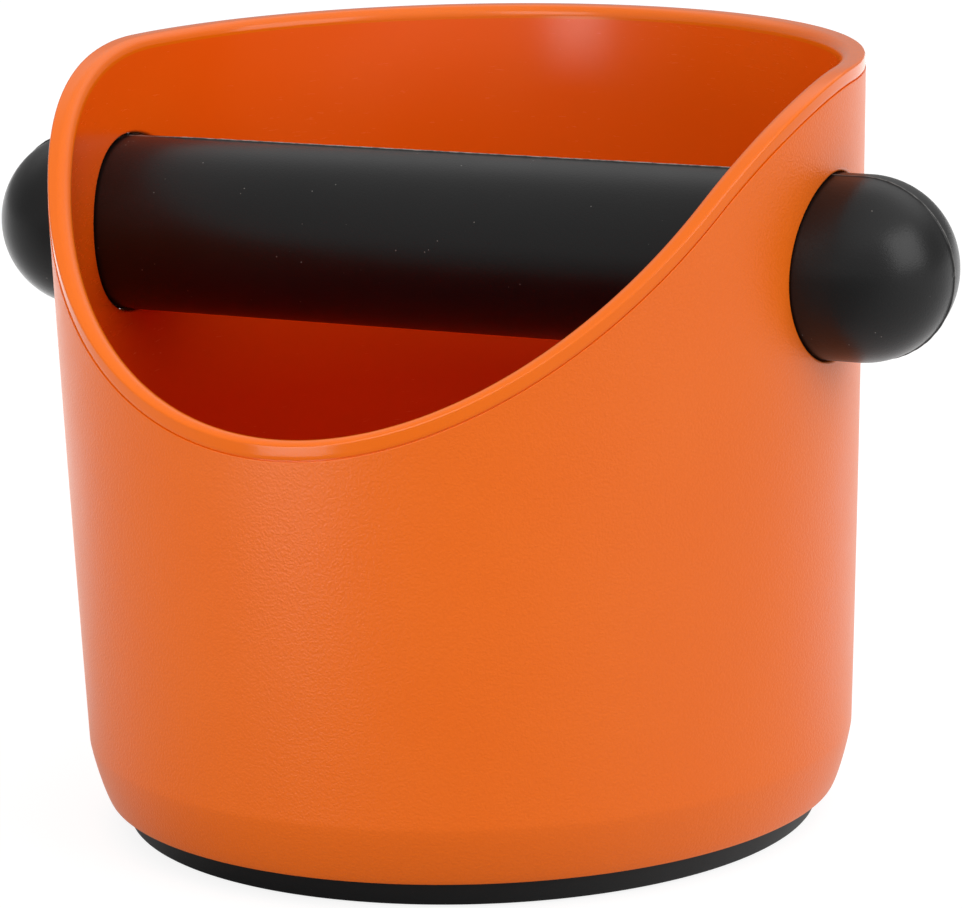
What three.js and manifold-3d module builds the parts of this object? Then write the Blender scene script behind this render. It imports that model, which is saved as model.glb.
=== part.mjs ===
// Espresso knock box: a round, drafted ABS tub with a slanted front cut, a rubber foot ring pressed under it,
// and a rubber-covered knock bar that passes through two bores in the tub wall and ends in domed caps.
// Millimetres, +Z up. The origin is the middle of the object's box, at the height of the surface it stands on.
// +X runs along the knock bar, -Y is the low front of the tub.
import * as THREE from 'three';
import { mergeVertices } from 'three/addons/utils/BufferGeometryUtils.js';
import Module from 'manifold-3d';

// ---- driving dimensions -------------------------------------------------------------------------------------------
const AXIS_Y = -0.71;            // tub axis, in front of the middle of the box because the front rim is lower

// tub, outside
const R_REF = 70.0;              // outer radius at Z_REF
const Z_REF = 134.0;
const DRAFT = 1.792;             // degrees, the wall leans in towards the base
const CROWN = 0.286;             // the wall swells by this much at half height
const Z_TUB = 4.75;              // underside of the tub, above the table
const R_BASE = 63.49;            // where the base corner meets the underside
const CORNER_H = 10.04;          // height of the soft base corner
const CORNER_E = 1.184;          // its fullness (1 is a quarter ellipse drawn tight, lower is fuller)

// tub, inside
const WALL_LOW = 3.5;            // wall thickness up to Z_THICK
const WALL_LIP = 4.4;            // wall thickness at the rear lip
const Z_THICK = 80.0;
const FLOOR_Z = 9.2;             // inner floor
const FLOOR_R = 9.0;             // inner corner radius
const PANEL_Z = 5.7;             // the middle of the underside is raised to this height
const PANEL_R = 46.0;

// slanted cut, drawn in side view and running straight along X
const CUT_SLOPE = 43.766;        // degrees
const CUT_Z_FRONT = 76.64;       // height of the slope where it would meet y = -70 from the tub axis
const RIM_Z = 130.885;           // level rear rim
const CUT_BLEND = 58.6;          // radius from the slope into the level rim

// knock bar
const BAR_Y = 1.725;             // bar axis behind the tub axis
const BAR_Z = 98.8;
const BAR_R = 15.41;             // rubber sleeve
const CAP_R = 15.55;             // domed end caps
const CAP_X = 74.37;             // centre of each dome
const SEAM_X = 66.4;             // seam between sleeve and cap, inside the wall
const BORE_R = 15.9;             // bores in the tub wall
const TUBE_R = 8.0;              // steel core tube
const TUBE_BORE = 6.2;
const TUBE_L = 66.0;             // half length
const SLEEVE_BORE = 8.12;
const GAP = 0.3;                 // seat clearance between neighbouring pieces

// end plug: a barrel in the core tube and a ribbed stem in the cap
const PLUG_R = 6.05;
const PLUG_IN = 16.0;            // length inside the tube
const FLANGE_R = 9.5;
const FLANGE_T = 2.4;
const STEM_R = 5.0;
const STEM_RIB = 6.0;
const STEM_X = 82.5;             // end of the stem
const RIB_X = 78.0;              // the stem's rib

// foot ring
const FOOT_TOP_R = 61.6;
const FOOT_R = 59.78;            // outer radius at the table
const FOOT_IN_R = 48.5;
const FOOT_EDGE = 0.8;           // rounding at the table
const TONGUE_R0 = 53.6;
const TONGUE_R1 = 56.4;
const TONGUE_TOP = 7.6;          // the ring's tongue sits in a groove in the tub's underside

const SEG = 72;
const BAR_SEG = 40;
const TUBE_SEG = 24;

// ---- helpers ------------------------------------------------------------------------------------------------------
const wasm = await Module();
wasm.setup();

const rad = (d) => d * Math.PI / 180;

// merges a geometry's shared vertices, drops triangles that collapsed on the axis, and turns the faces outwards
function closed(geometry) {
  const g = geometry.index ? geometry.toNonIndexed() : geometry.clone();
  for (const name of Object.keys(g.attributes)) if (name !== 'position') g.deleteAttribute(name);
  const m = mergeVertices(g, 1e-4);
  const pos = m.attributes.position.array;
  const idx = m.index.array;
  const keep = [];
  for (let i = 0; i < idx.length; i += 3) {
    const [a, b, c] = [idx[i], idx[i + 1], idx[i + 2]];
    if (a !== b && b !== c && c !== a) keep.push(a, b, c);
  }
  let vol = 0;
  for (let i = 0; i < keep.length; i += 3) {
    const [a, b, c] = [keep[i] * 3, keep[i + 1] * 3, keep[i + 2] * 3];
    vol += pos[a] * (pos[b + 1] * pos[c + 2] - pos[b + 2] * pos[c + 1])
      - pos[a + 1] * (pos[b] * pos[c + 2] - pos[b + 2] * pos[c])
      + pos[a + 2] * (pos[b] * pos[c + 1] - pos[b + 1] * pos[c]);
  }
  if (vol < 0) for (let i = 0; i < keep.length; i += 3) [keep[i + 1], keep[i + 2]] = [keep[i + 2], keep[i + 1]];
  const out = new THREE.BufferGeometry();
  out.setAttribute('position', new THREE.BufferAttribute(new Float32Array(pos), 3));
  out.setIndex(keep);
  return out;
}

function solid(geometry) {
  const g = closed(geometry);
  return new wasm.Manifold(new wasm.Mesh({
    numProp: 3,
    vertProperties: new Float32Array(g.attributes.position.array),
    triVerts: new Uint32Array(g.index.array),
  }));
}

function geometryOf(manifold) {
  const m = manifold.getMesh();
  const v = new Float32Array((m.vertProperties.length / m.numProp) * 3);
  for (let i = 0; i < v.length / 3; i++) for (let k = 0; k < 3; k++) v[3 * i + k] = m.vertProperties[i * m.numProp + k];
  const g = new THREE.BufferGeometry();
  g.setAttribute('position', new THREE.BufferAttribute(v, 3));
  g.setIndex(Array.from(m.triVerts));
  return g;
}

// a body of revolution about Z from [radius, height] pairs
function turnedZ(profile, segments) {
  const g = new THREE.LatheGeometry(profile.map(([r, z]) => new THREE.Vector2(r, z)), segments);
  g.rotateX(Math.PI / 2);
  return g;
}

// a body of revolution about the bar axis from [radius, x] pairs
function turnedX(profile, segments) {
  const g = new THREE.LatheGeometry(profile.map(([r, x]) => new THREE.Vector2(r, x)), segments);
  g.rotateZ(-Math.PI / 2);
  return g;
}

function arc(cx, cy, r, a0, a1, n) {
  const out = [];
  for (let i = 0; i <= n; i++) {
    const a = rad(a0 + (a1 - a0) * i / n);
    out.push([cx + r * Math.cos(a), cy + r * Math.sin(a)]);
  }
  return out;
}

// ---- tub ----------------------------------------------------------------------------------------------------------
const outerR = (z) => R_REF - (Z_REF - z) * Math.tan(rad(DRAFT)) + CROWN * 4 * (z / Z_REF) * (1 - z / Z_REF);
const wallT = (z) => z <= Z_THICK ? WALL_LOW : WALL_LOW + (WALL_LIP - WALL_LOW) * (z - Z_THICK) / (RIM_Z - Z_THICK);
const innerR = (z) => outerR(z) - wallT(z);

// height of the cut above the table at a distance y from the tub axis
function cutZ(y) {
  const s = Math.tan(rad(CUT_SLOPE));
  const yc = -70 + (RIM_Z - CUT_Z_FRONT) / s;
  const t = CUT_BLEND * Math.tan(rad(CUT_SLOPE / 2));
  const y1 = yc - t * Math.cos(rad(CUT_SLOPE));
  const y2 = yc + t;
  if (y <= y1) return CUT_Z_FRONT + s * (y + 70);
  if (y >= y2) return RIM_Z;
  return RIM_Z - CUT_BLEND + Math.sqrt(CUT_BLEND ** 2 - (y - y2) ** 2);
}

function tubGeometry() {
  const top = RIM_Z + 3;
  const zc = Z_TUB + CORNER_H;
  const rc = outerR(zc);
  const p = [[0, PANEL_Z], [PANEL_R, PANEL_Z], [PANEL_R + 0.9, Z_TUB]];
  p.push([TONGUE_R0 - GAP, Z_TUB], [TONGUE_R0 - GAP, TONGUE_TOP + GAP], [TONGUE_R1 + GAP, TONGUE_TOP + GAP], [TONGUE_R1 + GAP, Z_TUB]);
  for (let i = 0; i <= 6; i++) {
    const a = (Math.PI / 2) * i / 6;
    p.push([R_BASE + (rc - R_BASE) * Math.sin(a) ** (2 / CORNER_E), Z_TUB + CORNER_H * (1 - Math.cos(a) ** (2 / CORNER_E))]);
  }
  for (const z of [45, 80, 110, top]) p.push([outerR(z), z]);
  for (const z of [top, Z_THICK, 45]) p.push([innerR(z), z]);
  const zf = FLOOR_Z + FLOOR_R;
  const ri = innerR(zf);
  for (const [x, z] of arc(ri - FLOOR_R, zf, FLOOR_R, 0, -90, 5)) p.push([x, z]);
  p.push([0, FLOOR_Z]);
  let body = solid(turnedZ(p, SEG));

  // everything above the cut line, as one long prism
  const shape = new THREE.Shape();
  shape.moveTo(-90, cutZ(-90));
  for (let i = 0; i <= 24; i++) {
    const y = -34 + (12 + 34) * i / 24;
    shape.lineTo(y, cutZ(y));
  }
  shape.lineTo(90, RIM_Z);
  shape.lineTo(90, 190);
  shape.lineTo(-90, 190);
  shape.closePath();
  const prism = new THREE.ExtrudeGeometry(shape, { depth: 200, bevelEnabled: false });
  prism.translate(0, 0, -100);
  prism.applyMatrix4(new THREE.Matrix4().makeBasis(
    new THREE.Vector3(0, 1, 0), new THREE.Vector3(0, 0, 1), new THREE.Vector3(1, 0, 0)));
  body = body.subtract(solid(prism));

  // both bores in one pass
  const bore = new THREE.CylinderGeometry(BORE_R, BORE_R, 200, BAR_SEG);
  bore.rotateZ(Math.PI / 2);
  bore.translate(0, BAR_Y, BAR_Z);
  body = body.subtract(solid(bore));
  return geometryOf(body);
}

// ---- foot ring ----------------------------------------------------------------------------------------------------
function footGeometry() {
  const zt = Z_TUB - GAP;
  const p = [
    [FOOT_IN_R, FOOT_EDGE], [FOOT_IN_R + FOOT_EDGE, 0],
    ...arc(FOOT_R - FOOT_EDGE, FOOT_EDGE, FOOT_EDGE, -90, 0, 3),
    [FOOT_TOP_R, zt],
    [TONGUE_R1, zt], [TONGUE_R1, TONGUE_TOP - 0.6], [TONGUE_R1 - 0.6, TONGUE_TOP],
    [TONGUE_R0 + 0.6, TONGUE_TOP], [TONGUE_R0, TONGUE_TOP - 0.6], [TONGUE_R0, zt],
    [FOOT_IN_R, zt], [FOOT_IN_R, FOOT_EDGE],
  ];
  return closed(turnedZ(p, SEG));
}

// ---- knock bar ----------------------------------------------------------------------------------------------------
function tubeGeometry() {
  const c = 0.4;
  const p = [
    [TUBE_BORE, -TUBE_L + c], [TUBE_BORE + c, -TUBE_L], [TUBE_R - c, -TUBE_L], [TUBE_R, -TUBE_L + c],
    [TUBE_R, TUBE_L - c], [TUBE_R - c, TUBE_L], [TUBE_BORE + c, TUBE_L], [TUBE_BORE, TUBE_L - c], [TUBE_BORE, -TUBE_L + c],
  ];
  return closed(turnedX(p, TUBE_SEG));
}

const SLEEVE_X = SEAM_X - GAP / 2;
const CAP_IN = SEAM_X + GAP / 2;
const FLANGE_X = SLEEVE_X + GAP;                  // the plug's flange stands off the sleeve and the tube

function sleeveGeometry() {
  const c = 0.5;
  const p = [
    [SLEEVE_BORE, -SLEEVE_X], [BAR_R - c, -SLEEVE_X], [BAR_R, -SLEEVE_X + c],
    [BAR_R, SLEEVE_X - c], [BAR_R - c, SLEEVE_X], [SLEEVE_BORE, SLEEVE_X], [SLEEVE_BORE, -SLEEVE_X],
  ];
  return closed(turnedX(p, BAR_SEG));
}

// side is +1 for the right end and -1 for the left end
function capGeometry(side) {
  const c = 0.5;
  const f = FLANGE_X + FLANGE_T + GAP;            // bottom of the flange pocket
  const rib = (x) => [[STEM_R + GAP, x - 1.0], [STEM_RIB + GAP, x], [STEM_R + GAP, x + 1.0]];
  const p = [
    [0, STEM_X + GAP], [STEM_R + GAP, STEM_X + GAP],
    ...rib(RIB_X).reverse(),
    [STEM_R + GAP, f], [FLANGE_R + GAP, f], [FLANGE_R + GAP, CAP_IN], [CAP_R - c, CAP_IN], [CAP_R, CAP_IN + c],
    ...arc(0, CAP_X, CAP_R, 0, 90, 8),
  ];
  p[p.length - 1][0] = 0;
  return closed(turnedX(p.map(([r, x]) => [r, side * x]), BAR_SEG));
}

function plugGeometry(side) {
  const rib = (x) => [[STEM_R, x - 1.0], [STEM_RIB, x], [STEM_R, x + 1.0]];
  const p = [
    [0, TUBE_L - PLUG_IN], [PLUG_R - 1.0, TUBE_L - PLUG_IN], [PLUG_R, TUBE_L - PLUG_IN + 1.5], [PLUG_R, FLANGE_X],
    [FLANGE_R, FLANGE_X], [FLANGE_R, FLANGE_X + FLANGE_T], [STEM_R, FLANGE_X + FLANGE_T],
    ...rib(RIB_X),
    [STEM_R, STEM_X - 0.8], [STEM_R - 0.8, STEM_X], [0, STEM_X],
  ];
  return closed(turnedX(p.map(([r, x]) => [r, side * x]), TUBE_SEG));
}

// ---- materials and assembly ---------------------------------------------------------------------------------------
const orange = () => new THREE.MeshStandardMaterial({ color: 0xe4611b, roughness: 0.45, metalness: 0 });
const rubber = () => new THREE.MeshStandardMaterial({ color: 0x232323, roughness: 0.6, metalness: 0 });
const steel = () => new THREE.MeshStandardMaterial({ color: 0xb8babd, roughness: 0.3, metalness: 1 });
const nylon = () => new THREE.MeshStandardMaterial({ color: 0x3a3b3d, roughness: 0.5, metalness: 0 });

function piece(name, geometry, material) {
  const mesh = new THREE.Mesh(geometry, material);
  mesh.name = name;
  return mesh;
}

const knockBox = new THREE.Group();
knockBox.position.set(0, AXIS_Y, 0);

knockBox.add(piece('tub', tubGeometry(), orange()));
knockBox.add(piece('foot_ring', footGeometry(), rubber()));

const bar = new THREE.Group();
bar.position.set(0, BAR_Y, BAR_Z);
bar.add(piece('core_tube', tubeGeometry(), steel()));
bar.add(piece('bar_sleeve', sleeveGeometry(), rubber()));
bar.add(piece('end_cap_right', capGeometry(1), rubber()));
bar.add(piece('end_cap_left', capGeometry(-1), rubber()));
bar.add(piece('end_plug_right', plugGeometry(1), nylon()));
bar.add(piece('end_plug_left', plugGeometry(-1), nylon()));
knockBox.add(bar);

export default knockBox;
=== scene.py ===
import bpy
import math
import numpy as np
from mathutils import Matrix, Vector


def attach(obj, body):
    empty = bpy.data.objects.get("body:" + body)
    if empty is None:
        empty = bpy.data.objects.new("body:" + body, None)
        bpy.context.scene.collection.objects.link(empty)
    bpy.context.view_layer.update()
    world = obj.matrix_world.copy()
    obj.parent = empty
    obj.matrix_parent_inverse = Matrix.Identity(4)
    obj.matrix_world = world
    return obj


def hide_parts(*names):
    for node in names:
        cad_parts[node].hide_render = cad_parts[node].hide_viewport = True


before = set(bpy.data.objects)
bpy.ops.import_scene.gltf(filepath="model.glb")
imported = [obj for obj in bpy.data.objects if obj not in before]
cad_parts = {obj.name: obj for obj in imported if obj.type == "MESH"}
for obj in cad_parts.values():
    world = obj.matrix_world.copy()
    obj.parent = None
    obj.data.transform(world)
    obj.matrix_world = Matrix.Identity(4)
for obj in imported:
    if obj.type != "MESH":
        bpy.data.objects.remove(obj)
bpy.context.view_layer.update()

# ======================================================================================================================
# Dimensions in millimetres, in the part's own frame. AXIS_Y is the tub axis, and the tub is drawn about it.
# ======================================================================================================================
MM = 0.001
AXIS_Y = -0.71
R_REF, Z_REF, DRAFT, CROWN = 70.0, 134.0, 1.792, 0.286
Z_TUB, R_BASE, CORNER_H, CORNER_E = 4.75, 63.49, 10.04, 1.184
WALL_LOW, WALL_LIP, Z_THICK = 3.5, 4.4, 80.0
FLOOR_Z, FLOOR_R, PANEL_Z, PANEL_R = 9.2, 9.0, 5.7, 46.0
CUT_SLOPE, CUT_Z_FRONT, RIM_Z, CUT_BLEND = 43.766, 76.64, 130.885, 58.6
LIP_OUT, LIP_IN = 0.45, 1.9          # edge radii of the lip
BAND, BAND_STEP = 2.57, 0.11         # smooth band under the lip, and how far the grained wall stands proud of it
GROOVE = 0.36                        # depth of the fine groove between the two
BAR_Y, BAR_Z, BAR_R, CAP_R, CAP_X, SEAM_X = 1.725, 98.8, 15.41, 15.55, 74.37, 66.4
BORE, BORE_EDGE = 15.78, 0.5         # bores in the wall, and the rounding of their edges
TUBE_R, TUBE_BORE, TUBE_L, SLEEVE_BORE, GAP = 8.0, 6.2, 66.0, 8.12, 0.3
PLUG_R, PLUG_IN, FLANGE_R, FLANGE_T, STEM_R, STEM_RIB, STEM_X, RIB_X = 6.05, 16.0, 9.5, 2.4, 5.0, 6.0, 82.5, 78.0
FOOT_TOP_R, FOOT_R, FOOT_IN_R, FOOT_EDGE = 61.6, 59.78, 48.5, 0.8
TONGUE_R0, TONGUE_R1, TONGUE_TOP = 53.6, 56.4, 7.6
PARTING_CAP, PARTING_BAR = 5.0, 0.0 # lean of the rubbers' parting planes about the bar axis, degrees towards the front
FLASH_BAR, FLASH_CAP, FLASH_DOME = 0.33, 0.19, 0.30   # height of the flash left along the parting lines
FLASH_W = 0.16                       # its half width

# ======================================================================================================================
# Mesh helpers
# ======================================================================================================================


def make(name, verts, faces, slots=None, sharp=32.0, shift=(0.0, 0.0, 0.0)):
    """A mesh object from vertices in millimetres; slots holds one material number per face."""
    v = (np.asarray(verts, float) + np.asarray(shift)) * MM
    me = bpy.data.meshes.new(name)
    me.from_pydata(v.tolist(), [], faces)
    me.update()
    me.polygons.foreach_set("use_smooth", [True] * len(me.polygons))
    if slots is not None:
        me.polygons.foreach_set("material_index", list(slots))
    me.set_sharp_from_angle(angle=math.radians(sharp))
    me.update()
    ob = bpy.data.objects.new(name, me)
    bpy.context.scene.collection.objects.link(ob)
    return ob


def rounded(profile, default=0.25, n=4):
    """A polyline of (a, b) or (a, b, radius) with its corners rounded. The ends stay."""
    out = [tuple(profile[0][:2])]
    for k in range(1, len(profile) - 1):
        p0, p1, p2 = (np.array(profile[i][:2], float) for i in (k - 1, k, k + 1))
        r = profile[k][2] if len(profile[k]) > 2 else default
        u, w = p0 - p1, p2 - p1
        lu, lw = np.linalg.norm(u), np.linalg.norm(w)
        u, w = u / lu, w / lw
        ang = math.acos(float(np.clip(u @ w, -1, 1)))
        if r <= 0 or ang > math.radians(177):
            out.append(tuple(p1))
            continue
        tl = min(r / math.tan(ang / 2), 0.48 * lu, 0.48 * lw)
        r = tl * math.tan(ang / 2)
        c = p1 + (u + w) / np.linalg.norm(u + w) * (r / math.sin(ang / 2))
        a, b = p1 + u * tl - c, p1 + w * tl - c
        a0 = math.atan2(a[1], a[0])
        da = (math.atan2(b[1], b[0]) - a0 + math.pi) % (2 * math.pi) - math.pi
        for i in range(n + 1):
            t = a0 + da * i / n
            out.append((c[0] + r * math.cos(t), c[1] + r * math.sin(t)))
    out.append(tuple(profile[-1][:2]))
    return out


def finer(profile, step):
    """Splits the long straight runs of a polyline."""
    out = [profile[0]]
    for a, b in zip(profile[:-1], profile[1:]):
        n = max(1, int(math.ceil(math.hypot(b[0] - a[0], b[1] - a[1]) / step)))
        out += [(a[0] + (b[0] - a[0]) * i / n, a[1] + (b[1] - a[1]) * i / n) for i in range(1, n + 1)]
    return out


def arc(cx, cy, r, a0, a1, n):
    return [(cx + r * math.cos(math.radians(a0 + (a1 - a0) * i / n)), cy + r * math.sin(math.radians(a0 + (a1 - a0) * i / n)))
            for i in range(n + 1)]


def signed_volume(v, faces):
    tot = 0.0
    for f in faces:
        for k in range(1, len(f) - 1):
            tot += float(np.dot(v[f[0]], np.cross(v[f[k]], v[f[k + 1]])))
    return tot


def turned(name, profile, angles, axis="z", shape=None, sharp=32.0, shift=(0.0, 0.0, 0.0)):
    """A closed body of revolution. profile holds (radius, along) pairs, and where a radius is 0 the row is one vertex.
    A profile that starts and ends off the axis is a closed loop. shape(points) may move the points."""
    prof = [tuple(p) for p in profile]
    loop = prof[0][0] > 1e-9
    if loop and math.dist(prof[0], prof[-1]) < 1e-6:
        prof = prof[:-1]
    ang = np.asarray(angles, float)
    n = len(ang)
    rows, verts = [], []
    for r, s in prof:
        if r < 1e-9:
            rows.append([len(verts)])
            verts.append((0.0, 0.0, s))
        else:
            rows.append(list(range(len(verts), len(verts) + n)))
            verts += [(r * math.cos(a), r * math.sin(a), s) for a in ang]
    faces = []
    m = len(rows)
    for i in range(m if loop else m - 1):
        a, b = rows[i], rows[(i + 1) % m]
        for j in range(n):
            k = (j + 1) % n
            if len(a) == 1:
                faces.append((a[0], b[j], b[k]))
            elif len(b) == 1:
                faces.append((a[j], b[0], a[k]))
            else:
                faces.append((a[j], b[j], b[k], a[k]))
    v = np.array(verts, float)
    if axis == "x":                       # the angle runs about X, from +Y towards +Z
        v = np.stack([v[:, 2], v[:, 0], v[:, 1]], 1)
    if shape is not None:
        v = shape(v)
    if signed_volume(v, faces) < 0:
        faces = [tuple(reversed(f)) for f in faces]
    return make(name, v, faces, sharp=sharp, shift=shift)


# ======================================================================================================================
# Tub
# ======================================================================================================================
TAN = math.tan(math.radians(DRAFT))


def outer_r(z):
    return R_REF - (Z_REF - z) * TAN + CROWN * 4 * (z / Z_REF) * (1 - z / Z_REF)


def wall_t(z):
    k = (WALL_LIP - WALL_LOW) / (RIM_Z - Z_THICK)
    d = np.asarray(z, float) - Z_THICK
    return WALL_LOW + k * np.where(d < -8, 0.0, np.where(d > 8, d, (d + 8) ** 2 / 32))


def inner_r(z):
    return outer_r(z) - wall_t(z)


def cut(y):
    """Height and slope of the cut at y from the tub axis."""
    s = math.tan(math.radians(CUT_SLOPE))
    yc = -70 + (RIM_Z - CUT_Z_FRONT) / s
    t = CUT_BLEND * math.tan(math.radians(CUT_SLOPE / 2))
    y1, y2 = yc - t * math.cos(math.radians(CUT_SLOPE)), yc + t
    q = np.sqrt(np.maximum(CUT_BLEND ** 2 - (y - y2) ** 2, 1e-6))
    z = np.where(y <= y1, CUT_Z_FRONT + s * (y + 70), np.where(y >= y2, RIM_Z, RIM_Z - CUT_BLEND + q))
    d = np.where(y <= y1, s, np.where(y >= y2, 0.0, -(y - y2) / q))
    return z, d


def tub_mesh():
    n = 360
    th = np.arange(n) * 2 * math.pi / n
    c, s = np.cos(th), np.sin(th)

    # corners of the lip, and its two fillets, in the plane of each column
    ro = np.full(n, 69.0)
    ri = np.full(n, 65.0)
    for _ in range(12):
        zo, do = cut(-ro * c)
        zi, di = cut(-ri * c)
        ro, ri = outer_r(zo) - BAND_STEP, inner_r(zi)
    sec = np.sqrt(1 + ((do + di) / 2 * s) ** 2)
    A, B = np.stack([ro, zo / sec], 1), np.stack([ri, zi / sec], 1)
    e = (B - A) / np.linalg.norm(B - A, axis=1)[:, None]
    d_out = np.stack([-TAN * sec, -np.ones(n)], 1)
    d_out /= np.linalg.norm(d_out, axis=1)[:, None]
    d_in = np.stack([-0.0136 * sec, -np.ones(n)], 1)
    d_in /= np.linalg.norm(d_in, axis=1)[:, None]

    def fillet(C, u, w, r, k):
        ang = np.arccos(np.clip((u * w).sum(1), -1, 1))
        bis = (u + w) / np.linalg.norm(u + w, axis=1)[:, None]
        cen = C + bis * (r / np.sin(ang / 2))[:, None]
        tl = r / np.tan(ang / 2)
        p, q = C + u * tl[:, None] - cen, C + w * tl[:, None] - cen
        a = np.arctan2(p[:, 1], p[:, 0])
        da = (np.arctan2(q[:, 1], q[:, 0]) - a + math.pi) % (2 * math.pi) - math.pi
        return [np.stack([cen[:, 0] + r * np.cos(a + da * i / k), cen[:, 1] + r * np.sin(a + da * i / k)], 1) for i in range(k + 1)]

    f_out = fillet(A, d_out, e, LIP_OUT, 5)
    f_in = fillet(B, -e, d_in, LIP_IN, 7)

    rows, slot = [], []                    # slot[i] is the material of the faces between row i and row i + 1

    def row(r, z, m):
        rows.append(np.stack([r * s, -r * c, z + 0 * s], 1))
        slot.append(m)

    under = rounded([(0, PANEL_Z), (PANEL_R, PANEL_Z, 0.5), (PANEL_R + 0.9, Z_TUB, 0.5), (TONGUE_R0 - GAP, Z_TUB, 0.3),
                     (TONGUE_R0 - GAP, TONGUE_TOP + GAP, 0.2), (TONGUE_R1 + GAP, TONGUE_TOP + GAP, 0.2),
                     (TONGUE_R1 + GAP, Z_TUB, 0.3), (R_BASE, Z_TUB, 0)], n=3)
    under = [(6.0, PANEL_Z), (16.0, PANEL_Z), (30.0, PANEL_Z)] + under[1:-1] + [(60.5, Z_TUB)]
    for r, z in under:
        row(r, z, 1)
    rc = outer_r(Z_TUB + CORNER_H)
    for i in range(19):
        a = math.pi / 2 * i / 18
        row(R_BASE + (rc - R_BASE) * math.sin(a) ** (2 / CORNER_E), Z_TUB + CORNER_H * (1 - math.cos(a) ** (2 / CORNER_E)), 0)
    z0 = Z_TUB + CORNER_H
    zw = zo - BAND                          # the witness line, where the grained wall ends
    T = np.arange(1, 85) / 84
    base_out = len(rows)
    for t in T:
        z = z0 + (zw - 0.16 - z0) * t
        row(outer_r(z), z, 0)
    row(outer_r(zw - 0.05), zw - 0.05, 0)
    row(outer_r(zw) - 0.03, zw, 1)
    row(outer_r(zw) - GROOVE, zw + 0.06, 1)
    row(outer_r(zw) - GROOVE, zw + 0.19, 1)
    row(outer_r(zw) - BAND_STEP - 0.03, zw + 0.25, 1)
    row(outer_r(zw) - BAND_STEP, zw + 0.31, 1)
    z1 = f_out[0][:, 1] * sec
    for t in (0.32, 0.65, 0.93):
        z = zw + 0.31 + (z1 - zw - 0.31) * t
        row(outer_r(z) - BAND_STEP, z, 1)
    for p in f_out:
        row(p[:, 0], p[:, 1] * sec, 1)
    for t in (0.33, 0.67):
        p = f_out[-1] + (f_in[0] - f_out[-1]) * t
        row(p[:, 0], p[:, 1] * sec, 1)
    for p in f_in:
        row(p[:, 0], p[:, 1] * sec, 1)
    z2 = f_in[-1][:, 1] * sec
    row(inner_r(z2 - 0.15) , z2 - 0.15, 1)
    zf = FLOOR_Z + FLOOR_R
    base_in = len(rows)
    for t in T[::-1]:
        z = zf + (z2 - 0.4 - zf) * t
        row(inner_r(z), z, 2)
    row(inner_r(zf + 0 * s), zf, 2)
    rif = float(inner_r(zf))
    for r, z in arc(rif - FLOOR_R, zf, FLOOR_R, 0, -90, 16)[1:]:
        row(r, z, 2)
    for r in (46.0, 34.0, 20.0, 8.0):
        row(r, FLOOR_Z, 2)

    V = [r for r in rows]
    verts = np.concatenate(V)
    vid = lambda i, j: i * n + j % n
    windows = []
    # the grid cells taken out round each bore: rows of T and columns
    i_lo, i_hi = 47, 77
    for j_lo, j_hi, side in ((75, 108, 1), (252, 285, -1)):
        windows.append((base_out + i_lo, base_out + i_hi, j_lo, j_hi))
        k = len(T) - 1
        windows.append((base_in + k - i_hi, base_in + k - i_lo, j_lo, j_hi))
    cellskip = set()
    for a, b, p, q in windows:
        for i in range(a, b):
            for j in range(p, q):
                cellskip.add((i, j))
    faces, mats = [], []
    for i in range(len(rows) - 1):
        for j in range(n):
            if (i, j) in cellskip:
                continue
            faces.append((vid(i, j), vid(i, j + 1), vid(i + 1, j + 1), vid(i + 1, j)))
            mats.append(slot[i])
    extra = []

    def add(points):
        first = len(verts) + sum(len(x) for x in extra)
        extra.append(np.asarray(points))
        return list(range(first, first + len(points)))

    # centres of the underside and of the inner floor
    cb = add([(0, 0, PANEL_Z)])[0]
    ct = add([(0, 0, FLOOR_Z)])[0]
    last = len(rows) - 1
    for j in range(n):
        faces.append((cb, vid(0, j + 1), vid(0, j)))
        mats.append(1)
        faces.append((ct, vid(last, j), vid(last, j + 1)))
        mats.append(2)

    def loop_of(a, b, p, q, up):
        """The window's edge, from its low start corner along +column, then up, back and down."""
        lo, hi = (a, b) if up else (b, a)
        st = 1 if up else -1
        ids = [vid(lo, j) for j in range(p, q)]
        ids += [vid(i, q) for i in range(lo, hi, st)]
        ids += [vid(hi, j) for j in range(q, p, -1)]
        ids += [vid(i, p) for i in range(hi, lo, -st)]
        return ids

    K = 9
    for w, side in ((0, 1), (2, -1)):
        lo_o = loop_of(*windows[w], True)
        lo_i = loop_of(*windows[w + 1], False)
        m = len(lo_o)
        ov, iv = verts[lo_o], verts[lo_i]
        phi = np.unwrap(np.arctan2(ov[:, 2] - BAR_Z, ov[:, 1] - BAR_Y))
        cy, cz = np.cos(phi), np.sin(phi)

        def lift(y, z, rf):
            return side * np.sqrt(rf(z) ** 2 - y ** 2)

        def surf(rho, rf, depth):
            y, z = BAR_Y + rho * cy, BAR_Z + rho * cz
            return np.stack([lift(y, z, rf) - side * depth, y, z], 1)

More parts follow.
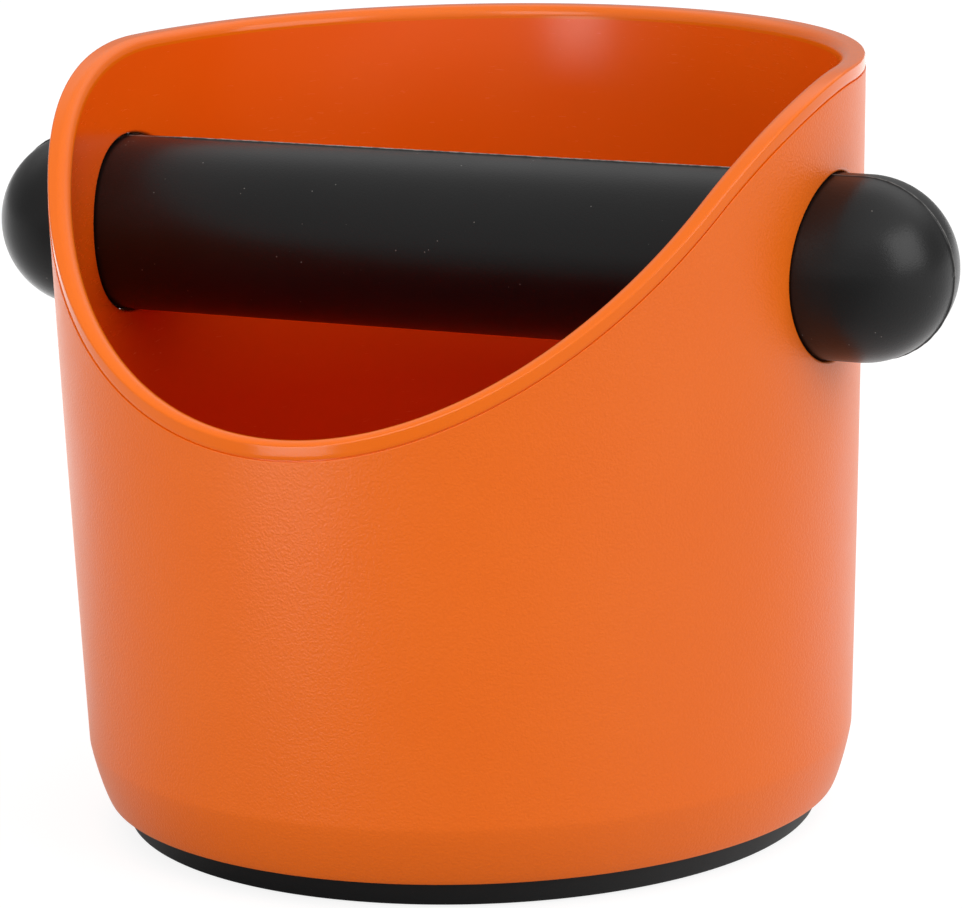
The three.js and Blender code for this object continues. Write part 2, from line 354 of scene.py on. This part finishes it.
        rings = [lo_o]
        re = BORE + BORE_EDGE
        for k in range(1, K + 1):
            t = 1 - (1 - k / K) ** 1.25
            y = ov[:, 1] * (1 - t) + (BAR_Y + re * cy) * t
            z = ov[:, 2] * (1 - t) + (BAR_Z + re * cz) * t
            rings.append(add(np.stack([lift(y, z, outer_r), y, z], 1)))
        for k in range(1, 8):
            a = math.pi / 2 * k / 7
            rings.append(add(surf(BORE + BORE_EDGE * (1 - math.sin(a)), outer_r, BORE_EDGE * (1 - math.cos(a)))))
        wall_ring = len(rings) - 1
        o_edge = surf(BORE, outer_r, BORE_EDGE)
        i_edge = surf(BORE, inner_r, -BORE_EDGE)
        for t in (0.33, 0.67):
            rings.append(add(o_edge * (1 - t) + i_edge * t))
        for k in range(7, 0, -1):
            a = math.pi / 2 * k / 7
            rings.append(add(surf(BORE + BORE_EDGE * (1 - math.sin(a)), inner_r, -BORE_EDGE * (1 - math.cos(a)))))
        for k in range(K, 0, -1):
            t = 1 - (1 - k / K) ** 1.25
            y = iv[:, 1] * (1 - t) + (BAR_Y + re * cy) * t
            z = iv[:, 2] * (1 - t) + (BAR_Z + re * cz) * t
            rings.append(add(np.stack([lift(y, z, inner_r), y, z], 1)))
        rings.append(lo_i)
        for k in range(len(rings) - 1):
            a, b = rings[k], rings[k + 1]
            mat = 0 if k < K else 1 if k < K + 7 else 3 if k < K + 10 else 2
            for x in range(m):
                y = (x + 1) % m
                faces.append((a[x], a[y], b[y], b[x]))
                mats.append(mat)
    allv = np.concatenate([verts] + extra)
    used = np.zeros(len(allv), bool)
    for f in faces:
        for x in f:
            used[x] = True
    new = np.cumsum(used) - 1
    faces = [tuple(int(new[x]) for x in f) for f in faces]
    allv = allv[used]
    return make("tub_shell", allv, faces, mats, sharp=40, shift=(0, AXIS_Y, 0))


tub = tub_mesh()

# ======================================================================================================================
# Foot ring
# ======================================================================================================================
zt = Z_TUB - GAP
foot_prof = rounded([
    (FOOT_IN_R, 2.4), (FOOT_IN_R, 0, FOOT_EDGE), (FOOT_R, 0, FOOT_EDGE), (FOOT_TOP_R, zt, 0.35),
    (TONGUE_R1, zt, 0.2), (TONGUE_R1, TONGUE_TOP, 0.6), (TONGUE_R0, TONGUE_TOP, 0.6), (TONGUE_R0, zt, 0.2),
    (FOOT_IN_R, zt, 0.35), (FOOT_IN_R, 2.4)], n=5)
foot = turned("foot_ring_rubber", finer(foot_prof, 1.6), np.arange(300) * 2 * math.pi / 300, shift=(0, AXIS_Y, 0))

# ======================================================================================================================
# Knock bar. It is drawn about its own axis, with the angle from +Y towards +Z.
# ======================================================================================================================
BAR_AT = (0, AXIS_Y + BAR_Y, BAR_Z)


def ring_angles(base, r, lean):
    """Even angles with extra ones beside the parting line."""
    top = math.radians(90 + lean)
    off = lambda x, c: abs((x - c + math.pi) % (2 * math.pi) - math.pi)
    near = [0, 0.04, 0.08, 0.12, 0.17, 0.24, 0.34, 0.5, 0.8]
    keep = [x for x in (2 * math.pi * i / base for i in range(base)) if min(off(x, top), off(x, top + math.pi)) > 1.15 / r]
    for c in (top, top + math.pi):
        for d in near:
            keep += [(c + d / r) % (2 * math.pi)] + ([(c - d / r) % (2 * math.pi)] if d else [])
    return sorted(keep)


def flash(radius, lean, high, side=1, x_dome=None, high_dome=None, fade=None):
    """Raises the flash on the outside of a bar part: a thin bead, trimmed a little unevenly, along the parting plane.
    The angle runs from +Y towards +Z, and -Y is the front, so a lean towards the front is past 90 degrees."""
    t = math.radians(90 + lean)
    n_ = np.array([0.0, -math.sin(t), math.cos(t)])

    def go(v):
        out = v.copy()
        rr = np.hypot(v[:, 1], v[:, 2])
        x = v[:, 0] * side
        nx = np.zeros_like(v)
        nx[:, 1:] = v[:, 1:] / np.maximum(rr, 1e-9)[:, None]
        skin = rr > radius - 0.02
        h = np.full(len(v), high)
        if x_dome is not None:
            dx = np.maximum(x - x_dome, 0)
            d = np.hypot(dx, rr)
            on = (x > x_dome) & (d > radius - 0.05)
            nx[on] = np.stack([side * dx[on], v[on, 1], v[on, 2]], 1) / d[on, None]
            skin = skin | on
            h = high + (high_dome - high) * np.clip(dx / 4, 0, 1)
        if fade is not None:
            h = h * (0.25 + 0.75 * np.clip((fade - np.abs(v[:, 0])) / 6, 0, 1))
        w = (v @ n_) / FLASH_W
        g = 1 / (1 + np.abs(w) ** 3.4)
        g = np.where(np.abs(w) > 3, 0, g)
        a = v[:, 0]
        ragged = 0.86 + 0.07 * np.sin(a * 0.9) * np.sin(a * 2.3 + 1.3) + 0.07 * np.sin(a * 5.1 + 0.4) * np.sin(a * 1.7)
        out[skin] += (nx * (h * g * ragged)[:, None])[skin]
        return out
    return go


SLEEVE_X, CAP_IN = SEAM_X - GAP / 2, SEAM_X + GAP / 2
FLANGE_X = SLEEVE_X + GAP
sleeve_prof = finer(rounded([
    (SLEEVE_BORE, 0), (SLEEVE_BORE, -SLEEVE_X, 0.3), (BAR_R, -SLEEVE_X, 0.5), (BAR_R, SLEEVE_X, 0.5), (SLEEVE_BORE, SLEEVE_X, 0.3),
    (SLEEVE_BORE, 0)], n=5), 0.8)
sleeve = turned("sleeve_rubber", sleeve_prof, ring_angles(120, BAR_R, PARTING_BAR), "x",
                flash(BAR_R, PARTING_BAR, FLASH_BAR, fade=60.0), shift=BAR_AT)


def cap(name, side):
    f = FLANGE_X + FLANGE_T + GAP
    p = rounded([
        (0, STEM_X + GAP), (STEM_R + GAP, STEM_X + GAP, 0.4), (STEM_R + GAP, RIB_X + 1.0, 0), (STEM_RIB + GAP, RIB_X, 0.3),
        (STEM_R + GAP, RIB_X - 1.0, 0), (STEM_R + GAP, f, 0.2), (FLANGE_R + GAP, f, 0.2), (FLANGE_R + GAP, CAP_IN, 0.3),
        (CAP_R, CAP_IN, 0.5), (CAP_R, CAP_X)], n=4)
    p = finer(p, 0.9)[:-1] + arc(0, CAP_X, CAP_R, 0, 90, 44)
    p = [(a if a > 1e-6 else 0.0, side * b) for a, b in p]
    return turned(name, p, ring_angles(120, CAP_R, PARTING_CAP), "x",
                  flash(CAP_R, PARTING_CAP, FLASH_CAP, side, CAP_X, FLASH_DOME), shift=BAR_AT)


cap_r = cap("cap_rubber_right", 1)
cap_l = cap("cap_rubber_left", -1)


def round_angles(k):
    return np.arange(k) * 2 * math.pi / k


tube = turned("tube_steel", finer(rounded([
    (TUBE_BORE, 0), (TUBE_BORE, -TUBE_L, 0.4), (TUBE_R, -TUBE_L, 0.4), (TUBE_R, TUBE_L, 0.4), (TUBE_BORE, TUBE_L, 0.4), (TUBE_BORE, 0)]), 6),
    round_angles(96), "x", shift=BAR_AT)


def plug(name, side):
    p = rounded([
        (0, TUBE_L - PLUG_IN), (PLUG_R, TUBE_L - PLUG_IN, 1.2), (PLUG_R, FLANGE_X, 0.1), (FLANGE_R, FLANGE_X, 0.3),
        (FLANGE_R, FLANGE_X + FLANGE_T, 0.3), (STEM_R, FLANGE_X + FLANGE_T, 0.2), (STEM_R, RIB_X - 1.0, 0.2), (STEM_RIB, RIB_X, 0.3),
        (STEM_R, RIB_X + 1.0, 0.2), (STEM_R, STEM_X, 0.8), (0, STEM_X)])
    return turned(name, [(a, side * b) for a, b in finer(p, 1.5)], round_angles(72), "x", shift=BAR_AT)


plug_r = plug("plug_nylon_right", 1)
plug_l = plug("plug_nylon_left", -1)

for ob, body, node, slot_name in (
        (tub, "box", "tub", "abs_orange"), (foot, "box", "foot_ring", "rubber_foot"), (tube, "bar_core", "core_tube", "core_steel"),
        (sleeve, "knock_bar", "bar_sleeve", "rubber_black"), (cap_r, "knock_bar", "end_cap_right", "rubber_black"),
        (cap_l, "knock_bar", "end_cap_left", "rubber_black"), (plug_r, "knock_bar", "end_plug_right", "nylon_black"),
        (plug_l, "knock_bar", "end_plug_left", "nylon_black")):
    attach(ob, body)
    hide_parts(node)

# ======================================================================================================================
# Materials
# ======================================================================================================================


def srgb(r, g, b):
    f = lambda c: (c / 255 / 12.92) if c / 255 <= 0.04045 else ((c / 255 + 0.055) / 1.055) ** 2.4
    return (f(r), f(g), f(b), 1.0)


class Nodes:
    """Small helper for node trees: every method adds one node and gives its output."""

    def __init__(self, name):
        self.mat = bpy.data.materials.new(name)
        self.mat.use_nodes = True
        self.t = self.mat.node_tree
        self.b = self.t.nodes["Principled BSDF"]
        self.pos = self.t.nodes.new("ShaderNodeTexCoord").outputs["Object"]

    def link(self, a, b):
        self.t.links.new(a, b)

    def mapping(self, scale=(1, 1, 1), rot=(0, 0, 0)):
        n = self.t.nodes.new("ShaderNodeMapping")
        n.inputs["Scale"].default_value = scale
        n.inputs["Rotation"].default_value = rot
        self.link(self.pos, n.inputs["Vector"])
        return n.outputs[0]

    def noise(self, scale, detail=2.0, rough=0.5, vec=None, distortion=0.0):
        n = self.t.nodes.new("ShaderNodeTexNoise")
        n.inputs["Scale"].default_value = scale
        n.inputs["Detail"].default_value = detail
        n.inputs["Roughness"].default_value = rough
        n.inputs["Distortion"].default_value = distortion
        self.link(vec or self.pos, n.inputs["Vector"])
        return n.outputs["Fac"]

    def voronoi(self, scale, feature="F1", vec=None, smooth=None):
        n = self.t.nodes.new("ShaderNodeTexVoronoi")
        n.feature = feature
        n.inputs["Scale"].default_value = scale
        if smooth is not None and feature == "SMOOTH_F1":
            n.inputs["Smoothness"].default_value = smooth
        self.link(vec or self.pos, n.inputs["Vector"])
        return n.outputs["Distance"]

    def ramp(self, fac, stops, mode="LINEAR"):
        n = self.t.nodes.new("ShaderNodeValToRGB")
        n.color_ramp.interpolation = mode
        while len(n.color_ramp.elements) < len(stops):
            n.color_ramp.elements.new(0.5)
        for el, (p, v) in zip(n.color_ramp.elements, stops):
            el.position = p
            el.color = v if isinstance(v, tuple) else (v, v, v, 1)
        self.link(fac, n.inputs["Fac"])
        return n.outputs["Color"]

    def maprange(self, v, a, b, c, d, clamp=True):
        n = self.t.nodes.new("ShaderNodeMapRange")
        n.clamp = clamp
        for k, x in zip(("From Min", "From Max", "To Min", "To Max"), (a, b, c, d)):
            n.inputs[k].default_value = x
        self.link(v, n.inputs["Value"])
        return n.outputs["Result"]

    def math(self, op, a, b=None):
        n = self.t.nodes.new("ShaderNodeMath")
        n.operation = op
        for k, x in enumerate((a, b)):
            if x is None:
                continue
            if isinstance(x, (int, float)):
                n.inputs[k].default_value = x
            else:
                self.link(x, n.inputs[k])
        return n.outputs[0]

    def mix(self, fac, a, b, mode="MIX"):
        n = self.t.nodes.new("ShaderNodeMix")
        n.data_type = "RGBA"
        n.blend_type = mode
        for k, x in ((0, fac), (6, a), (7, b)):
            if isinstance(x, (int, float)):
                n.inputs[k].default_value = x
            elif isinstance(x, tuple):
                n.inputs[k].default_value = x
            else:
                self.link(x, n.inputs[k])
        return n.outputs[2]

    def bump(self, height, dist, strength=1.0, normal=None):
        n = self.t.nodes.new("ShaderNodeBump")
        n.inputs["Distance"].default_value = dist
        n.inputs["Strength"].default_value = strength
        self.link(height, n.inputs["Height"])
        if normal is not None:
            self.link(normal, n.inputs["Normal"])
        return n.outputs["Normal"]

    def split(self):
        n = self.t.nodes.new("ShaderNodeSeparateXYZ")
        self.link(self.pos, n.inputs[0])
        return n.outputs

    def pointiness(self):
        return self.t.nodes.new("ShaderNodeNewGeometry").outputs["Pointiness"]

    def set(self, **kw):
        for k, v in kw.items():
            sock = self.b.inputs[k.replace("_", " ")]
            if isinstance(v, (int, float, tuple)):
                sock.default_value = v
            else:
                self.link(v, sock)
        return self.mat


ORANGE = (0.850, 0.147, 0.0026, 1.0)
ORANGE_DEEP = (0.826, 0.135, 0.0020, 1.0)
ORANGE_PALE = (0.860, 0.157, 0.0040, 1.0)


def abs_grained():
    """The outside of the tub: a mould surface of fine flat cells, as spark erosion leaves, dulling the gloss."""
    m = Nodes("abs_orange_grained")
    cells = m.voronoi(2300, "SMOOTH_F1", smooth=0.7)
    cells2 = m.voronoi(4100, "F1")
    fine = m.noise(5200, 2.0, 0.6)
    h = m.math("ADD", m.math("MULTIPLY", m.maprange(cells, 0.05, 0.75, 1.0, 0.0), 0.75), m.math("MULTIPLY", fine, 0.35))
    h = m.math("ADD", h, m.math("MULTIPLY", m.maprange(cells2, 0.0, 0.8, 1.0, 0.0), 0.30))
    large = m.noise(38, 3.0, 0.55)
    flow = m.noise(9, 2.0, 0.5, m.mapping((1, 1, 0.35)))
    col = m.mix(m.maprange(large, 0.3, 0.7, 0.0, 1.0), ORANGE, ORANGE_PALE)
    col = m.mix(m.maprange(flow, 0.35, 0.75, 0.0, 0.55), col, ORANGE_DEEP)
    # painted shade: where the grain height is low, in the hollows of the cells, the colour is mixed towards a darker
    # orange
    col = m.mix(m.maprange(h, 0.35, 1.05, 0.10, 0.0), col, (0.62, 0.075, 0.003, 1))
    rub = m.maprange(m.noise(60, 5.0, 0.62), 0.60, 0.80, 0.0, 1.0)       # places that hands have polished
    rough = m.math("SUBTRACT", m.maprange(large, 0.25, 0.75, 0.34, 0.40), m.math("MULTIPLY", rub, 0.05))
    # painted highlight: convex edges, picked out by pointiness, are mixed towards a brighter orange
    edge = m.maprange(m.pointiness(), 0.53, 0.62, 0.0, 1.0)
    col = m.mix(m.math("MULTIPLY", edge, 0.25), col, (0.95, 0.27, 0.06, 1))
    return m.set(Base_Color=col, Roughness=rough, Normal=m.bump(h, 0.00007, 0.65), IOR=1.5, Specular_IOR_Level=0.42,
                 Sheen_Weight=0.10, Sheen_Roughness=0.28)


def abs_satin(name="abs_orange_satin", base=ORANGE, pale=ORANGE_PALE, gloss=0.15, painted_shade=None, level=0.37):
    """The lip and the inside: the same plastic off a polished mould, with faint flow marks and light scuffs."""
    m = Nodes(name)
    large = m.noise(30, 3.0, 0.5)
    fine = m.noise(2600, 3.0, 0.6)
    scratch = m.noise(240, 4.0, 0.7, m.mapping((1, 1, 7)), 0.4)
    col = m.mix(m.maprange(large, 0.3, 0.7, 0.0, 1.0), base, pale)
    # painted highlight: convex edges, picked out by pointiness, are mixed towards a brighter orange
    edge = m.maprange(m.pointiness(), 0.53, 0.60, 0.0, 1.0)
    col = m.mix(m.math("MULTIPLY", edge, 0.18), col, (0.95, 0.27, 0.06, 1))
    if painted_shade is not None:                                # painted shade: low down inside, the colour is mixed darker and deeper, for the shade under the bar and the front wall
        col = m.mix(m.maprange(m.split()[2], 0.062, 0.096, 1.0, 0.0), col, painted_shade)
    rough = m.math("ADD", m.maprange(large, 0.25, 0.75, gloss, gloss + 0.06), m.math("MULTIPLY", m.maprange(scratch, 0.55, 0.75, 0.0, 1.0), 0.06))
    h = m.math("ADD", m.math("MULTIPLY", fine, 0.5), m.math("MULTIPLY", scratch, 0.5))
    return m.set(Base_Color=col, Roughness=rough, Normal=m.bump(h, 0.00004, 0.22), IOR=1.5, Specular_IOR_Level=level)


def rubber(name, base, lighter, rough_lo, rough_hi, grain=1.0, dust=0.5, level=0.41, parting=None, crest_highlight=(0.42, 0.37, 0.33, 1)):
    """Moulded rubber: fine matt grain, a bloom that varies, a few specks of dust, a painted highlight on convex edges
    and, where a parting is given, a painted highlight along the crest of the flash.
    """
    m = Nodes(name)
    grain_n = m.noise(3300, 3.0, 0.65)
    pits = m.voronoi(1500, "F1")
    large = m.noise(45, 4.0, 0.6)
    streak = m.noise(18, 2.0, 0.5, m.mapping((0.25, 1, 1)))
    specks = m.voronoi(620, "F1")
    pick = m.noise(310, 1.0, 0.4)
    col = m.mix(m.maprange(large, 0.3, 0.75, 0.0, 1.0), base, lighter)
    col = m.mix(m.maprange(streak, 0.4, 0.7, 0.0, 0.35), col, lighter)
    dot = m.math("MULTIPLY", m.maprange(specks, 0.045, 0.09, 1.0, 0.0), m.maprange(pick, 0.61, 0.64, 0.0, dust))
    col = m.mix(dot, col, (0.42, 0.40, 0.37, 1))
    # painted highlight: convex edges, picked out by pointiness, are mixed towards grey
    edge = m.maprange(m.pointiness(), 0.52, 0.60, 0.0, 0.5)
    col = m.mix(edge, col, (0.12, 0.12, 0.12, 1))
    if parting is not None:                             # painted highlight: the crest of the flash is coloured pale, in uneven patches, for the light it catches
        t = math.radians(90 + parting)
        at = m.split()
        off = m.math("ADD", m.math("MULTIPLY", m.math("SUBTRACT", at[1], BAR_AT[1] * MM), -math.sin(t)),
                     m.math("MULTIPLY", m.math("SUBTRACT", at[2], BAR_AT[2] * MM), math.cos(t)))
        crest = m.maprange(m.math("ABSOLUTE", off, 0.0), 0.00010, 0.00017, 1.0, 0.0)
        crest_patches = m.maprange(m.noise(700, 2.0, 0.5), 0.35, 0.6, 0.35, 1.0)
        col = m.mix(m.math("MULTIPLY", crest, crest_patches), col, crest_highlight)
    rough = m.math("ADD", m.maprange(large, 0.25, 0.75, rough_lo, rough_hi), m.math("MULTIPLY", dot, 0.3))
    h = m.math("ADD", m.math("MULTIPLY", grain_n, 0.7), m.math("MULTIPLY", m.maprange(pits, 0.0, 0.5, 0.0, 1.0), 0.3))
    h = m.math("ADD", h, m.math("MULTIPLY", dot, 1.5))
    return m.set(Base_Color=col, Roughness=rough, Normal=m.bump(h, 0.00004 * grain, 0.6), IOR=1.5, Specular_IOR_Level=level)


def steel():
    m = Nodes("steel_drawn")
    lines = m.noise(420, 5.0, 0.7, m.mapping((0.03, 1, 1)))
    spots = m.noise(70, 3.0, 0.5)
    col = m.mix(m.maprange(spots, 0.3, 0.75, 0.0, 1.0), (0.60, 0.61, 0.63, 1), (0.50, 0.50, 0.51, 1))
    rough = m.maprange(lines, 0.3, 0.7, 0.24, 0.42)
    return m.set(Base_Color=col, Metallic=1.0, Roughness=rough, Normal=m.bump(lines, 0.00002, 0.5))


def nylon():
    m = Nodes("nylon_moulded")
    g = m.noise(1800, 3.0, 0.6)
    large = m.noise(60, 3.0, 0.5)
    col = m.mix(m.maprange(large, 0.3, 0.7, 0.0, 1.0), (0.020, 0.020, 0.021, 1), (0.034, 0.034, 0.036, 1))
    return m.set(Base_Color=col, Roughness=m.maprange(large, 0.3, 0.7, 0.38, 0.5), Normal=m.bump(g, 0.00003, 0.4), IOR=1.53)


grained, satin = abs_grained(), abs_satin()
# painted interreflection: the inside is the same plastic as the outside, given a deeper, more saturated orange for the
# light thrown back and forth inside the tub; low down it gets painted shade as well
inner = abs_satin("abs_orange_inside_painted_deeper", (0.885, 0.100, 0.0018, 1.0), (0.890, 0.108, 0.0022, 1.0), 0.21, (0.800, 0.042, 0.0010, 1.0), 0.45)
bore = abs_satin("abs_orange_bore", ORANGE_DEEP, ORANGE, 0.70, None, 0.06)       # the machined bores, dull with rubber dust
bar_rubber = rubber("rubber_bar", (0.0036, 0.0036, 0.0038, 1), (0.0056, 0.0056, 0.0058, 1), 0.32, 0.40, level=0.38, parting=PARTING_BAR)
cap_rubber = rubber("rubber_cap", (0.0040, 0.0040, 0.0042, 1), (0.0060, 0.0060, 0.0062, 1), 0.28, 0.36, level=0.38, parting=PARTING_CAP, crest_highlight=(0.15, 0.145, 0.14, 1))
foot_rubber = rubber("rubber_foot_ring", (0.0062, 0.0062, 0.0064, 1), (0.0088, 0.0088, 0.0090, 1), 0.46, 0.58, 1.2, 0.4)
tub.data.materials.append(grained)
tub.data.materials.append(satin)
tub.data.materials.append(inner)
tub.data.materials.append(bore)
foot.data.materials.append(foot_rubber)
sleeve.data.materials.append(bar_rubber)
for ob in (cap_r, cap_l):
    ob.data.materials.append(cap_rubber)
tube.data.materials.append(steel())
nyl = nylon()
for ob in (plug_r, plug_l):
    ob.data.materials.append(nyl)

# ======================================================================================================================
# Floor, light and camera
# ======================================================================================================================
def lamp(name, kind, loc, aim, size, power, color=(1, 1, 1), size_y=None, spread=None):
    d = bpy.data.lights.new(name, kind)
    d.energy = power
    d.color = color
    if kind == "AREA":
        d.shape = "RECTANGLE"
        d.size = size
        d.size_y = size_y or size
        if spread:
            d.spread = math.radians(spread)
    ob = bpy.data.objects.new(name, d)
    bpy.context.scene.collection.objects.link(ob)
    ob.location = loc
    ob.visible_camera = False
    ob.rotation_mode = "QUATERNION"
    ob.rotation_quaternion = (Vector(aim) - Vector(loc)).to_track_quat("-Z", "Y")
    return ob


def around(az, el, dist, aim=(0, 0, 0.065)):
    """A point at this azimuth (0 in front, 90 at +X) and elevation round the object."""
    a, e = math.radians(az), math.radians(el)
    return (aim[0] + dist * math.sin(a) * math.cos(e), aim[1] - dist * math.cos(a) * math.cos(e), aim[2] + dist * math.sin(e))


# softboxes: azimuth, elevation, distance, width, height, radiance
SOFTBOXES = (
    ("soft_right", 80, 26, 1.2, 0.84, 0.84, 2.20),
    ("soft_front", -5, 33, 1.2, 0.56, 0.66, 2.7),
)
CARD = (-16.3, 0.300, 0.057, 0.10, 0.105, 4.2)      # a small upright light near the left front: azimuth, distance, z, width, height

# glow of the table round the object: azimuth in degrees, radiance
FLOOR_GLOW = ((-180, 1.10), (-135, 2.00), (-107, 0.98), (-88, 0.50), (-62, 0.42), (-43, 0.24), (-24, 0.06), (-6, 0.06), (12, 0.08),
              (34, 0.12), (57, 0.36), (85, 0.56), (119, 0.60), (141, 0.86), (180, 1.10))
FLOOR_SEEN = 0.86

# floor
fl = bpy.data.meshes.new("floor")
fl.from_pydata([(-6, -6, -0.0004), (6, -6, -0.0004), (6, 6, -0.0004), (-6, 6, -0.0004)], [], [(0, 1, 2, 3)])
floor = bpy.data.objects.new("floor", fl)
bpy.context.scene.collection.objects.link(floor)
fm = bpy.data.materials.new("floor_pale")
fm.use_nodes = True
fb = fm.node_tree.nodes["Principled BSDF"]
fb.inputs["Base Color"].default_value = (0.26, 0.26, 0.26, 1)
fb.inputs["Roughness"].default_value = 0.9
fb.inputs["Specular IOR Level"].default_value = 0.0
# The table is lit from below like a light table: white where it is looked at, and for the object a glow that is
# stronger towards the left front and the right, which gives the plastic its two soft upright bands.
ft = fm.node_tree
fpos = ft.nodes.new("ShaderNodeTexCoord")
fsep = ft.nodes.new("ShaderNodeSeparateXYZ")
ft.links.new(fpos.outputs["Object"], fsep.inputs[0])
neg = ft.nodes.new("ShaderNodeMath")
neg.operation = "MULTIPLY"
neg.inputs[1].default_value = -1.0
ft.links.new(fsep.outputs["Y"], neg.inputs[0])
fat = ft.nodes.new("ShaderNodeMath")
fat.operation = "ARCTAN2"                       # azimuth round the object: 0 in front, 90 degrees at +X
ft.links.new(fsep.outputs["X"], fat.inputs[0])
ft.links.new(neg.outputs[0], fat.inputs[1])
fmap = ft.nodes.new("ShaderNodeMapRange")
fmap.inputs["From Min"].default_value = -math.pi
fmap.inputs["From Max"].default_value = math.pi
ft.links.new(fat.outputs[0], fmap.inputs["Value"])
fcr = ft.nodes.new("ShaderNodeValToRGB")
fcr.color_ramp.interpolation = "B_SPLINE"
while len(fcr.color_ramp.elements) < len(FLOOR_GLOW):
    fcr.color_ramp.elements.new(0.5)
for el_, (az_, v_) in zip(fcr.color_ramp.elements, FLOOR_GLOW):
    el_.position = (az_ + 180) / 360
    el_.color = (v_ / 2, v_ / 2, v_ / 2, 1)
ft.links.new(fmap.outputs["Result"], fcr.inputs["Fac"])
fdbl = ft.nodes.new("ShaderNodeMath")
fdbl.operation = "MULTIPLY"
fdbl.inputs[1].default_value = 2.0
ft.links.new(fcr.outputs["Color"], fdbl.inputs[0])
lpath = ft.nodes.new("ShaderNodeLightPath")
fmx = ft.nodes.new("ShaderNodeMix")
fmx.data_type = "FLOAT"
fmx.inputs[3].default_value = FLOOR_SEEN
ft.links.new(lpath.outputs["Is Camera Ray"], fmx.inputs[0])
ft.links.new(fdbl.outputs[0], fmx.inputs[2])
fb.inputs["Emission Color"].default_value = (1, 1, 1, 1)
ft.links.new(fmx.outputs[0], fb.inputs["Emission Strength"])
floor.data.materials.append(fm)

world = bpy.data.worlds.new("studio")
bpy.context.scene.world = world
world.use_nodes = True
wt = world.node_tree
bg = wt.nodes["Background"]
bg.inputs["Color"].default_value = (1, 1, 1, 1)
# a white tent: bright overhead, dimmer low down at the left and behind, fair in front


def wnode(kind, op=None, **inputs):
    n = wt.nodes.new(kind)
    if op:
        n.operation = op
    for k_, v_ in inputs.items():
        sock = n.inputs[int(k_[1:])] if k_[0] == "i" and k_[1:].isdigit() else n.inputs[k_.replace("_", " ")]
        if isinstance(v_, bpy.types.NodeSocket):
            wt.links.new(v_, sock)
        else:
            sock.default_value = v_
    return n


def wrange(v, a, b, c, d):
    n = wnode("ShaderNodeMapRange", Value=v, From_Min=a, From_Max=b, To_Min=c, To_Max=d)
    n.interpolation_type = "SMOOTHSTEP"
    return n.outputs["Result"]


wdir = wnode("ShaderNodeTexCoord").outputs["Generated"]
wup = wnode("ShaderNodeSeparateXYZ", i0=wdir).outputs["Z"]
towards = lambda az_: wnode("ShaderNodeVectorMath", "DOT_PRODUCT", i0=wdir,
                            i1=(math.sin(math.radians(az_)), -math.cos(math.radians(az_)), 0.0)).outputs["Value"]
low = wrange(towards(20), -0.2, 1.0, 0.38, 0.64)
high = wrange(towards(90), -0.62, 0.42, 0.58, 1.05)
rise = wrange(wup, math.sin(math.radians(18)), math.sin(math.radians(52)), 0.0, 1.0)
wmix = wnode("ShaderNodeMix", i0=rise, i2=low, i3=high)
wmix.data_type = "FLOAT"
# a lighter band of the tent behind, just above the back rim
band = wnode("ShaderNodeMath", "MULTIPLY", i0=wrange(wup, math.sin(math.radians(24)), math.sin(math.radians(40)), 0.0, 1.0),
             i1=wrange(wup, math.sin(math.radians(50)), math.sin(math.radians(66)), 1.0, 0.0)).outputs[0]
band = wnode("ShaderNodeMath", "MULTIPLY", i0=band, i1=wrange(towards(200), 0.0, 0.6, 0.0, 0.34)).outputs[0]
wsum = wnode("ShaderNodeMath", "ADD", i0=wmix.outputs[0], i1=band).outputs[0]
seen = wnode("ShaderNodeLightPath").outputs["Is Camera Ray"]           # white where the tent itself is looked at
wcam = wnode("ShaderNodeMix", i0=seen, i2=wsum, i3=1.0)
wcam.data_type = "FLOAT"
wt.links.new(wcam.outputs[0], bg.inputs["Strength"])

lit = bpy.data.collections.new("lit_from_front")          # the two front lights are flagged off the black rubber
lit.objects.link(tub)
for name, az, el, dist, w, h, level in SOFTBOXES:
    box = lamp(name, "AREA", around(az, el, dist), (0, 0, 0.065), w, level * w * h * math.pi, size_y=h)
    if name == "soft_front":
        box.light_linking.receiver_collection = lit
c_az, c_d, c_z, c_w, c_h, c_l = CARD
c_at = around(c_az, 0, c_d, (0, AXIS_Y * MM, c_z))
card = lamp("card_left", "AREA", c_at, (0, 0, c_z), c_w, c_l * c_w * c_h * math.pi, size_y=c_h)
card.light_linking.receiver_collection = lit

# camera
AZ, EL, ROLL = 26.938, 12.84, -1.545
cam_d = bpy.data.cameras.new("camera")
cam = bpy.data.objects.new("camera", cam_d)
bpy.context.scene.collection.objects.link(cam)
cam_d.sensor_fit = "HORIZONTAL"
cam_d.sensor_width = 36.0
cam_d.lens = 36.0 * 4852.13 / 962
cam_d.clip_start, cam_d.clip_end = 0.05, 60
D = 0.837512
a, e = math.radians(AZ), math.radians(EL)
back = Vector((math.sin(a) * math.cos(e), -math.cos(a) * math.cos(e), math.sin(e)))
target = Vector((0.002727, 0.000676, 0.061940))
x = Vector((0, 0, 1)).cross(back).normalized()
y = back.cross(x)
r = math.radians(ROLL)
x2 = math.cos(r) * x + math.sin(r) * y
y2 = -math.sin(r) * x + math.cos(r) * y
m = Matrix.Identity(4)
for k in range(3):
    m[k][0], m[k][1], m[k][2] = x2[k], y2[k], back[k]
    m[k][3] = (target + back * D)[k]
cam.matrix_world = m
bpy.context.scene.camera = cam

sc = bpy.context.scene
sc.view_settings.view_transform = "Standard"
sc.view_settings.look = "None"
